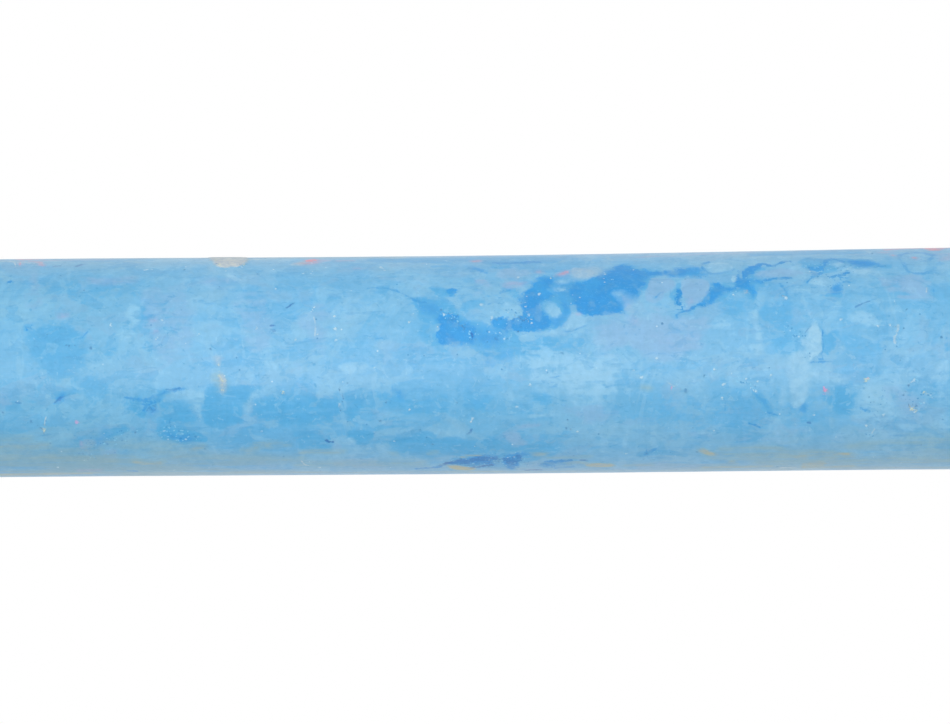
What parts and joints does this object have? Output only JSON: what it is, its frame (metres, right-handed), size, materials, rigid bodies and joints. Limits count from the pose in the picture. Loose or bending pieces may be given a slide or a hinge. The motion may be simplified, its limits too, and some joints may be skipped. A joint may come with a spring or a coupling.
{
  "type": "chalk stick",
  "caption": "Round stick of blue moulded blackboard chalk with flat ends, flaring slightly to its wide end, its dusty skin smeared and worn; gripped in a chalk holder or by hand.",
  "frame": {"origin": "centre of the flat face of the wide end, on which the stick stands", "axes": "+Z along the stick from the wide end to the narrow end; the side that the picture shows faces -Y"},
  "size_m": [0.0104, 0.0104, 0.08],
  "materials": {
    "blue_chalk": "dusty satin moulded chalk, pale film rubbed through to a stronger blue in patches, faint pink and ochre smears"
  },
  "bodies": {
    "root": {"stick": "blue_chalk"}
  },
  "joints": []
}
